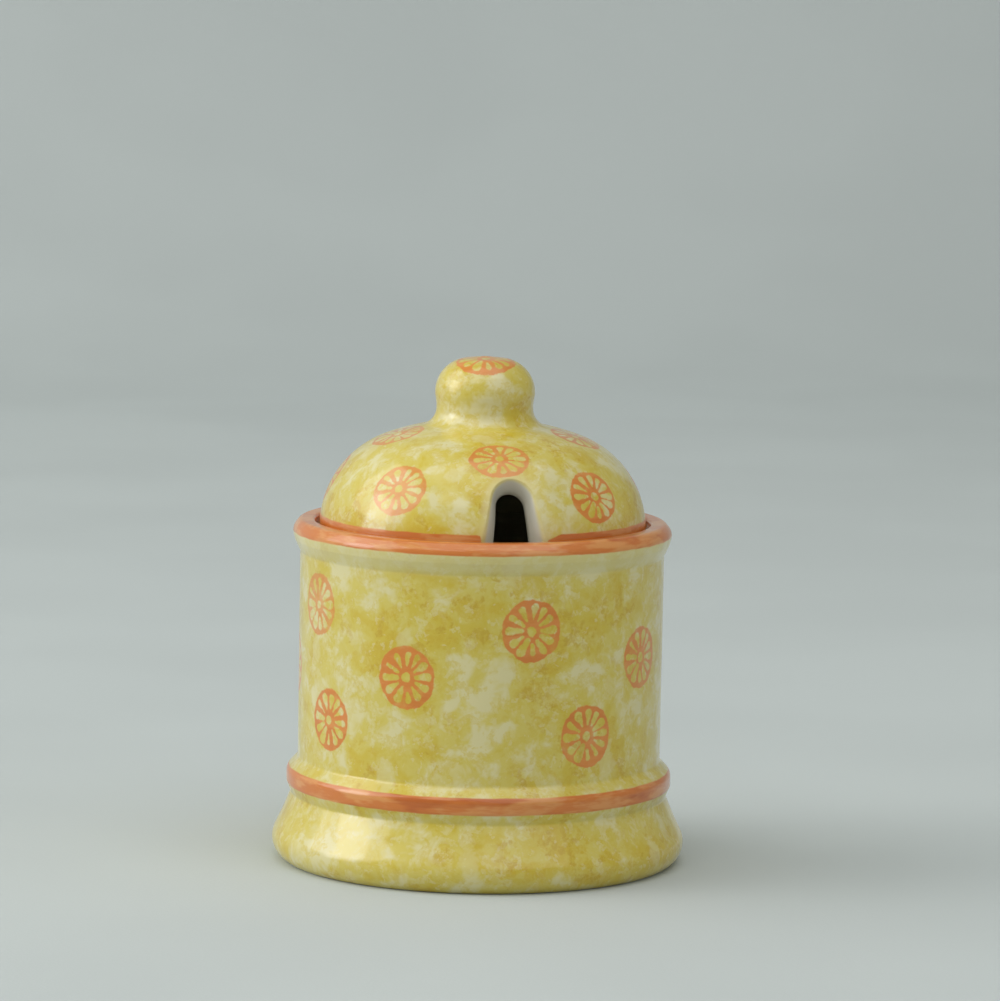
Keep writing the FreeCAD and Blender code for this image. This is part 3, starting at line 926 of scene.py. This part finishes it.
def openingGroup():
    # one cut opening: a tapered capsule along the clock direction; the output is below nothing inside it
    tree, given, result = newGroup(
        "sliceOpening", "ShaderNodeTree",
        (("Place", "Vector"), ("Sine", "Float"), ("Cosine", "Float"), ("Inner", "Float"), ("Outer", "Float"),
         ("Inner Half", "Float"), ("Outer Half", "Float")), ("Gap", "Float"))
    place, sine, cosine = splitVector(tree, given["Place"]), given["Sine"], given["Cosine"]
    x, y = place["X"], place["Y"]
    along = maths(tree, "ADD", times(tree, x, sine), times(tree, y, cosine))
    across = maths(tree, "SUBTRACT", times(tree, x, cosine), times(tree, y, sine))
    length = maths(tree, "SUBTRACT", given["Outer"], given["Inner"])
    share = maths(tree, "DIVIDE", maths(tree, "SUBTRACT", along, given["Inner"]), length, clamp=True)
    off = maths(tree, "SUBTRACT", along, maths(tree, "MULTIPLY_ADD", share, length, given["Inner"]))
    distance = maths(tree, "SQRT", maths(tree, "ADD", times(tree, off, off), times(tree, across, across)))
    widening = maths(tree, "SUBTRACT", given["Outer Half"], given["Inner Half"])
    width = maths(tree, "MULTIPLY_ADD", share, widening, given["Inner Half"])
    feed(tree, result, maths(tree, "SUBTRACT", distance, width))
    return tree


def stampGroup():
    # a whole stamped slice: paint from 0 to 1 at a place given in millimetres about its centre
    opening = openingGroup()
    tree, given, result = newGroup("citrusStamp", "ShaderNodeTree",
                                   (("Place", "Vector"), ("Uneven", "Float")), ("Paint", "Float"))
    place = vectorMaths(tree, "MULTIPLY", given["Place"], (1, 1 / sliceStamp["tall"], 0)).outputs[0]
    distance = vectorMaths(tree, "LENGTH", place).outputs["Value"]
    gap = maths(tree, "SUBTRACT", distance, sliceStamp["hole"])
    for clock, inner, outer, innerHalf, outerHalf in sliceStamp["openings"]:
        turn = math.radians(clock)
        cut = addNode(tree, "ShaderNodeGroup", node_tree=opening)
        fill(tree, cut, {"Place": place, "Sine": math.sin(turn), "Cosine": math.cos(turn), "Inner": inner,
                         "Outer": outer, "Inner Half": innerHalf, "Outer Half": outerHalf})
        gap = maths(tree, "MINIMUM", gap, cut.outputs[0])
    rim = maths(tree, "SUBTRACT", sliceStamp["radius"], distance)
    solid = maths(tree, "ADD", maths(tree, "MINIMUM", gap, rim), given["Uneven"])
    feed(tree, result, ease(tree, solid, -sliceStamp["edge"], sliceStamp["edge"]))
    return tree


def readValue(tree, name):
    return addNode(tree, "ShaderNodeAttribute", attribute_name=name).outputs["Fac"]


def spongeDabs(tree, place, size, share, number):
    # patches with ragged edges, as a torn sponge leaves them: 1 on a share of them, 0 between
    moved = vectorMaths(tree, "ADD", place, (number * 37.0, number * 11.0, number * 23.0)).outputs[0]
    patches = noise(tree, moved, size, 3, 0.62, 0.35)
    level = 0.5 + (0.5 - share) * 0.27
    return ease(tree, patches, level, level + 0.06)


def spongedWash(tree, place, broad, cloudy):
    # a soft wash, from cream to mustard
    broadShare, cloudyShare = glazeSet["washShares"]
    wash = maths(tree, "MULTIPLY_ADD", broad, broadShare, times(tree, cloudy, cloudyShare))
    ramp = addNode(tree, "ShaderNodeValToRGB")
    ramp.color_ramp.interpolation = "EASE"
    while len(ramp.color_ramp.elements) < len(glazeSet["washStops"]):
        ramp.color_ramp.elements.new(0.5)
    for element, (position, key) in zip(ramp.color_ramp.elements, glazeSet["washStops"]):
        element.position, element.color = position, tones[key]
    feed(tree, ramp.inputs[0], wash)
    colour = ramp.outputs[0]

    # dabs of mustard, ochre and cream over one another
    ripe = ease(tree, broad, 0.42, 0.60)
    pores = ease(tree, noise(tree, place, *glazeSet["grain"]), 0.36, 0.56, 0.3, 1.0)
    for number, (key, size, share, cover, onlyRipe) in enumerate(glazeSet["dabs"], 1):
        dabs = spongeDabs(tree, place, size, share, number)
        factors = [dabs, pores, cover] + [ripe] * onlyRipe
        colour = mixColour(tree, times(tree, *factors), colour, tones[key])
    return colour


def paleOvals(tree, colour, shift, cloudy):
    # pale ovals where a fold of the sponge missed
    cells = addNode(tree, "ShaderNodeTexVoronoi", feature="F1")
    stretched = objectPlace(tree, stretch=(1, 1, glazeSet["ovalTall"]), shift=shift)
    fill(tree, cells, {"Vector": stretched, "Scale": 1 / glazeSet["ovalGap"]})
    fold = wander(tree, cloudy, 0.5, cells.outputs["Distance"])
    missed = times(tree, ease(tree, fold, 0.26, 0.17), glazeSet["ovalCover"])
    return mixColour(tree, missed, colour, tones["cream"])


def thinnedEdges(tree, colour, cloudy):
    # thinner colour along the lip and wiped round the notch
    def thinned(name, low, high):
        ragged = maths(tree, "MULTIPLY_ADD", cloudy, 3, readValue(tree, name))
        return times(tree, ease(tree, ragged, low, high), glazeSet["thinCover"])

    thin = maths(tree, "MAXIMUM", thinned("paleReach", 0.4, 3.2), thinned("cheekReach", -1.2, 1.4))
    return mixColour(tree, thin, colour, tones["cream"])


def bandOrange(tree):
    # brushed orange, thin and thick by turns, drawn out round the pot
    brush = noise(tree, objectPlace(tree, stretch=(4, 4, 0.9)), *glazeSet["brush"])
    body = mixColour(tree, ease(tree, brush, 0.40, 0.56), tones["orangeThin"], tones["orange"])
    stroke = noise(tree, objectPlace(tree, stretch=(5, 5, 1), shift=(40, 0, 0)), *glazeSet["stroke"])
    return mixColour(tree, ease(tree, stroke, 0.52, 0.66), body, tones["orangeDeep"])


def slicePaint(tree, place, stamp, plain):
    # the stamped slices' paint, smudged, ragged and patchy, and none on the plain glaze
    pressed = addNode(tree, "ShaderNodeGroup", node_tree=stamp)
    stampPlace = addNode(tree, "ShaderNodeUVMap", uv_map="stampPlace").outputs[0]
    smudge = wander(tree, noise(tree, place, *glazeSet["smudge"]), 1.1)
    uneven = wander(tree, noise(tree, place, *glazeSet["ragged"]), 0.75, smudge)
    fill(tree, pressed, {"Place": stampPlace, "Uneven": uneven})
    patchy = ease(tree, noise(tree, place, *glazeSet["patch"], seed=9.0), 0.3, 0.5, 0.72, 1.0)
    return times(tree, pressed.outputs[0], readValue(tree, "stampStrength"), patchy,
                 maths(tree, "SUBTRACT", 1, plain))


def spongedGlaze(name, stamp, shift):
    material, tree, shader = newMaterial(name)
    place = objectPlace(tree, shift=shift)
    broad = noise(tree, place, *glazeSet["broad"])
    cloudy = noise(tree, place, *glazeSet["cloudy"])
    edgeWander = wander(tree, noise(tree, place, *glazeSet["edgeBlotch"]), glazeSet["edgeWander"])

    def wandering(reach):
        return maths(tree, "ADD", readValue(tree, reach), edgeWander)

    colour = spongedWash(tree, place, broad, cloudy)
    colour = paleOvals(tree, colour, shift, cloudy)
    colour = thinnedEdges(tree, colour, cloudy)

    # plain glaze inside and under the foot
    plain = ease(tree, wandering("plainReach"), -0.15, 0.15)
    inside = mixColour(tree, ease(tree, broad, 0.4, 0.6), tones["inside"], darker(tones["inside"], 0.93))
    colour = mixColour(tree, plain, colour, inside)

    # orange bands and slices
    orange = bandOrange(tree)
    bandEdge = maths(tree, "ADD", readValue(tree, "orangeReach"), times(tree, edgeWander, 0.55))
    band = ease(tree, bandEdge, -0.14, 0.2)
    painted = slicePaint(tree, place, stamp, plain)
    sliceOrange = mixColour(tree, glazeSet["stampedShare"], orange, tones["stamped"])
    colour = mixColour(tree, times(tree, band, glazeSet["bandCover"]), colour, orange)
    colour = mixColour(tree, times(tree, painted, glazeSet["sliceCover"]), colour, sliceOrange)

    # pale slip on the notch's cheeks, and bare clay on the foot ring
    cheek = ease(tree, wandering("cheekReach"), -0.45, 0.85)
    colour = mixColour(tree, cheek, colour, tones["slip"])
    bare = ease(tree, wandering("bareReach"), -0.2, 0.2)
    clay = mixColour(tree, noise(tree, place, *glazeSet["speck"]), tones["bisque"],
                     darker(tones["bisque"], 0.85))
    colour = mixColour(tree, bare, colour, clay)
    roughness = maths(tree, "MULTIPLY_ADD", bare, glazeSet["bareRoughness"], glazeSet["roughness"])
    fill(tree, shader, {"Base Color": colour, "Roughness": roughness, "IOR": glazeSet["refraction"],
                        "Specular IOR Level": glazeSet["shine"], "Coat Weight": glazeSet["coat"],
                        "Coat Roughness": glazeSet["coatRoughness"]})

    # the glaze lies unevenly: slow swells, fine orange peel
    swell = times(tree, noise(tree, place, *glazeSet["swell"]), glazeSet["swellHeight"])
    height = maths(tree, "MULTIPLY_ADD", noise(tree, place, *glazeSet["peel"]), glazeSet["peelHeight"], swell)
    addBump(tree, shader, height, 1.0, glazeSet["bumpDepth"])
    return material


clayTree = turnedClayTree()
stampTree = stampGroup()
potGlaze = spongedGlaze("spongedYellowPot", stampTree, (0.0, 0.0, 0.0))
lidGlaze = spongedGlaze("spongedYellowLid", stampTree, (31.0, 12.0, 5.0))
print("jam pot: glazes mixed")
makePot(potGlaze)
print("jam pot: pot turned")
makeLid(lidGlaze)
print("jam pot: lid made")
